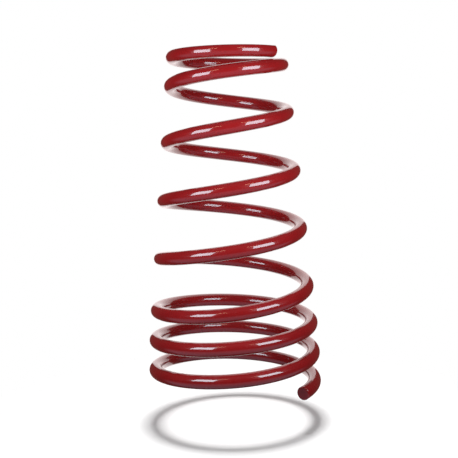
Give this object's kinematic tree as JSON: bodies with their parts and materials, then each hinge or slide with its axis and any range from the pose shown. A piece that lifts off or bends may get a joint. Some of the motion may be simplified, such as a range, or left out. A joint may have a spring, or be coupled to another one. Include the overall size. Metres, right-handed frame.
{
  "type": "coil spring",
  "caption": "Conical helical compression spring for a car's suspension, close wound at the open foot, with a closed top end ground flat.",
  "frame": {"origin": "centre of the lower seat: on the coils' axis, level with the lowest point of the bar", "axes": "+Z along the coils' axis towards the ground end; -Y is the front, where the ground tip and the open tail end both lie a little to the right"},
  "size_m": [0.1559, 0.1556, 0.307],
  "materials": {
    "red_powder_coat": "gloss"
  },
  "bodies": {
    "seat_coil": {"coil_1_tail": "red_powder_coat", "coil_1_back": "red_powder_coat", "coil_1_left": "red_powder_coat", "coil_1_front": "red_powder_coat"},
    "coil_2_right": {"coil_2_right": "red_powder_coat"},
    "coil_2_back": {"coil_2_back": "red_powder_coat"},
    "coil_2_left": {"coil_2_left": "red_powder_coat"},
    "coil_2_front": {"coil_2_front": "red_powder_coat"},
    "coil_3_right": {"coil_3_right": "red_powder_coat"},
    "coil_3_back": {"coil_3_back": "red_powder_coat"},
    "coil_3_left": {"coil_3_left": "red_powder_coat"},
    "coil_3_front": {"coil_3_front": "red_powder_coat"},
    "coil_4_right": {"coil_4_right": "red_powder_coat"},
    "coil_4_back": {"coil_4_back": "red_powder_coat"},
    "coil_4_left": {"coil_4_left": "red_powder_coat"},
    "coil_4_front": {"coil_4_front": "red_powder_coat"},
    "coil_5_right": {"coil_5_right": "red_powder_coat"},
    "coil_5_back": {"coil_5_back": "red_powder_coat"},
    "coil_5_left": {"coil_5_left": "red_powder_coat"},
    "coil_5_front": {"coil_5_front": "red_powder_coat"},
    "coil_6_right": {"coil_6_right": "red_powder_coat"},
    "coil_6_back": {"coil_6_back": "red_powder_coat"},
    "coil_6_left": {"coil_6_left": "red_powder_coat"},
    "coil_6_front": {"coil_6_front": "red_powder_coat"},
    "coil_7_right": {"coil_7_right": "red_powder_coat"},
    "coil_7_back": {"coil_7_back": "red_powder_coat"},
    "coil_7_left": {"coil_7_left": "red_powder_coat"},
    "coil_7_front": {"coil_7_front": "red_powder_coat"},
    "end_coil": {"coil_8_right": "red_powder_coat", "coil_8_back": "red_powder_coat", "coil_8_left": "red_powder_coat", "coil_8_tip": "red_powder_coat"}
  },
  "joints": [
    {"name": "coil_2_right_twist", "type": "hinge", "parent": "seat_coil", "child": "coil_2_right", "pos_m": [0.05065, -0.05065, 0.03062], "axis": [-0.7046, -0.7071, -0.0599], "range_deg": [0, 1.18], "stiffness_Nm_per_rad": 1430},
    {"name": "coil_2_back_twist", "type": "hinge", "parent": "coil_2_right", "child": "coil_2_back", "pos_m": [0.05048, 0.05048, 0.03737], "axis": [0.7075, -0.7041, -0.0601], "range_deg": [0, 1.55], "stiffness_Nm_per_rad": 1430},
    {"name": "coil_2_left_twist", "type": "hinge", "parent": "coil_2_back", "child": "coil_2_left", "pos_m": [-0.05027, 0.05027, 0.04412], "axis": [0.7037, 0.7079, -0.0603], "range_deg": [0, 2.92], "stiffness_Nm_per_rad": 1440},
    {"name": "coil_2_front_twist", "type": "hinge", "parent": "coil_2_left", "child": "coil_2_front", "pos_m": [-0.05001, -0.05001, 0.05087], "axis": [-0.7084, 0.7032, -0.0606], "range_deg": [0, 2.75], "stiffness_Nm_per_rad": 1450},
    {"name": "coil_3_right_twist", "type": "hinge", "parent": "coil_2_front", "child": "coil_3_right", "pos_m": [0.0497, -0.0497, 0.05762], "axis": [-0.7028, -0.7088, -0.061], "range_deg": [0, 1.54], "stiffness_Nm_per_rad": 1450},
    {"name": "coil_3_back_twist", "type": "hinge", "parent": "coil_3_right", "child": "coil_3_back", "pos_m": [0.04936, 0.04936, 0.06437], "axis": [0.7091, -0.7024, -0.0614], "range_deg": [0, 1.62], "stiffness_Nm_per_rad": 1460},
    {"name": "coil_3_left_twist", "type": "hinge", "parent": "coil_3_back", "child": "coil_3_left", "pos_m": [-0.04897, 0.04897, 0.07112], "axis": [0.7021, 0.7094, -0.0619], "range_deg": [0, 2.11], "stiffness_Nm_per_rad": 1480},
    {"name": "coil_3_front_twist", "type": "hinge", "parent": "coil_3_left", "child": "coil_3_front", "pos_m": [-0.04856, -0.04856, 0.07791], "axis": [-0.7097, 0.7013, -0.0675], "range_deg": [0, 3.66], "stiffness_Nm_per_rad": 1490},
    {"name": "coil_4_right_twist", "type": "hinge", "parent": "coil_3_front", "child": "coil_4_right", "pos_m": [0.04789, -0.04789, 0.08849], "axis": [-0.6941, -0.7096, -0.1213], "range_deg": [0, 6.69], "stiffness_Nm_per_rad": 1500},
    {"name": "coil_4_back_twist", "type": "hinge", "parent": "coil_4_right", "child": "coil_4_back", "pos_m": [0.04706, 0.04706, 0.10149], "axis": [0.7095, -0.6938, -0.1234], "range_deg": [0, 7.7], "stiffness_Nm_per_rad": 1530},
    {"name": "coil_4_left_twist", "type": "hinge", "parent": "coil_4_back", "child": "coil_4_left", "pos_m": [-0.04623, 0.04623, 0.11449], "axis": [0.6935, 0.7095, -0.1256], "range_deg": [0, 7.88], "stiffness_Nm_per_rad": 1550},
    {"name": "coil_4_front_twist", "type": "hinge", "parent": "coil_4_left", "child": "coil_4_front", "pos_m": [-0.04541, -0.04541, 0.12749], "axis": [-0.7094, 0.6931, -0.1278], "range_deg": [0, 8.42], "stiffness_Nm_per_rad": 1580},
    {"name": "coil_5_right_twist", "type": "hinge", "parent": "coil_4_front", "child": "coil_5_right", "pos_m": [0.04458, -0.04458, 0.14049], "axis": [-0.6928, -0.7093, -0.1301], "range_deg": [0, 8.36], "stiffness_Nm_per_rad": 1610},
    {"name": "coil_5_back_twist", "type": "hinge", "parent": "coil_5_right", "child": "coil_5_back", "pos_m": [0.04375, 0.04375, 0.15349], "axis": [0.7093, -0.6924, -0.1326], "range_deg": [0, 8.22], "stiffness_Nm_per_rad": 1640},
    {"name": "coil_5_left_twist", "type": "hinge", "parent": "coil_5_back", "child": "coil_5_left", "pos_m": [-0.04293, 0.04293, 0.16649], "axis": [0.692, 0.7092, -0.1351], "range_deg": [0, 8.92], "stiffness_Nm_per_rad": 1670},
    {"name": "coil_5_front_twist", "type": "hinge", "parent": "coil_5_left", "child": "coil_5_front", "pos_m": [-0.0421, -0.0421, 0.17949], "axis": [-0.7091, 0.6916, -0.1377], "range_deg": [0, 9.21], "stiffness_Nm_per_rad": 1700},
    {"name": "coil_6_right_twist", "type": "hinge", "parent": "coil_5_front", "child": "coil_6_right", "pos_m": [0.04127, -0.04127, 0.19249], "axis": [-0.6911, -0.709, -0.1404], "range_deg": [0, 8.28], "stiffness_Nm_per_rad": 1740},
    {"name": "coil_6_back_twist", "type": "hinge", "parent": "coil_6_right", "child": "coil_6_back", "pos_m": [0.04044, 0.04044, 0.20549], "axis": [0.7089, -0.6906, -0.1432], "range_deg": [0, 8.61], "stiffness_Nm_per_rad": 1770},
    {"name": "coil_6_left_twist", "type": "hinge", "parent": "coil_6_back", "child": "coil_6_left", "pos_m": [-0.03962, 0.03962, 0.21849], "axis": [0.6902, 0.7088, -0.1461], "range_deg": [0, 9.33], "stiffness_Nm_per_rad": 1810},
    {"name": "coil_6_front_twist", "type": "hinge", "parent": "coil_6_left", "child": "coil_6_front", "pos_m": [-0.03879, -0.03879, 0.23149], "axis": [-0.7086, 0.6896, -0.1492], "range_deg": [0, 8.95], "stiffness_Nm_per_rad": 1850},
    {"name": "coil_7_right_twist", "type": "hinge", "parent": "coil_6_front", "child": "coil_7_right", "pos_m": [0.03796, -0.03796, 0.24449], "axis": [-0.6891, -0.7085, -0.1523], "range_deg": [0, 9], "stiffness_Nm_per_rad": 1880},
    {"name": "coil_7_back_twist", "type": "hinge", "parent": "coil_7_right", "child": "coil_7_back", "pos_m": [0.03714, 0.03714, 0.25744], "axis": [0.7085, -0.689, -0.1529], "range_deg": [0, 9.81], "stiffness_Nm_per_rad": 1930},
    {"name": "coil_7_left_twist", "type": "hinge", "parent": "coil_7_back", "child": "coil_7_left", "pos_m": [-0.03636, 0.03636, 0.26972], "axis": [0.6907, 0.7089, -0.1428], "range_deg": [0, 8.23], "stiffness_Nm_per_rad": 1970},
    {"name": "coil_7_front_twist", "type": "hinge", "parent": "coil_7_left", "child": "coil_7_front", "pos_m": [-0.03567, -0.03567, 0.28052], "axis": [-0.7095, 0.6938, -0.1235], "range_deg": [0, 4.51], "stiffness_Nm_per_rad": 2010},
    {"name": "end_coil_twist", "type": "hinge", "parent": "coil_7_front", "child": "end_coil", "pos_m": [0.03511, -0.03511, 0.28931], "axis": [-0.6975, -0.7099, -0.0978], "range_deg": [0, 4.38], "stiffness_Nm_per_rad": 2050}
  ],
  "couplings": [
    {"joint": "coil_2_right_twist", "follows": "coil_4_back_twist", "ratio": 0.1529},
    {"joint": "coil_2_back_twist", "follows": "coil_4_back_twist", "ratio": 0.2015},
    {"joint": "coil_2_left_twist", "follows": "coil_4_back_twist", "ratio": 0.3798},
    {"joint": "coil_2_front_twist", "follows": "coil_4_back_twist", "ratio": 0.3566},
    {"joint": "coil_3_right_twist", "follows": "coil_4_back_twist", "ratio": 0.2003},
    {"joint": "coil_3_back_twist", "follows": "coil_4_back_twist", "ratio": 0.2107},
    {"joint": "coil_3_left_twist", "follows": "coil_4_back_twist", "ratio": 0.2743},
    {"joint": "coil_3_front_twist", "follows": "coil_4_back_twist", "ratio": 0.4752},
    {"joint": "coil_4_right_twist", "follows": "coil_4_back_twist", "ratio": 0.8685},
    {"joint": "coil_4_left_twist", "follows": "coil_4_back_twist", "ratio": 1.0226},
    {"joint": "coil_4_front_twist", "follows": "coil_4_back_twist", "ratio": 1.094},
    {"joint": "coil_5_right_twist", "follows": "coil_4_back_twist", "ratio": 1.0856},
    {"joint": "coil_5_back_twist", "follows": "coil_4_back_twist", "ratio": 1.0675},
    {"joint": "coil_5_left_twist", "follows": "coil_4_back_twist", "ratio": 1.1586},
    {"joint": "coil_5_front_twist", "follows": "coil_4_back_twist", "ratio": 1.1958},
    {"joint": "coil_6_right_twist", "follows": "coil_4_back_twist", "ratio": 1.0749},
    {"joint": "coil_6_back_twist", "follows": "coil_4_back_twist", "ratio": 1.1187},
    {"joint": "coil_6_left_twist", "follows": "coil_4_back_twist", "ratio": 1.2116},
    {"joint": "coil_6_front_twist", "follows": "coil_4_back_twist", "ratio": 1.1616},
    {"joint": "coil_7_right_twist", "follows": "coil_4_back_twist", "ratio": 1.1685},
    {"joint": "coil_7_back_twist", "follows": "coil_4_back_twist", "ratio": 1.2746},
    {"joint": "coil_7_left_twist", "follows": "coil_4_back_twist", "ratio": 1.0686},
    {"joint": "coil_7_front_twist", "follows": "coil_4_back_twist", "ratio": 0.5863},
    {"joint": "end_coil_twist", "follows": "coil_4_back_twist", "ratio": 0.5682}
  ]
}
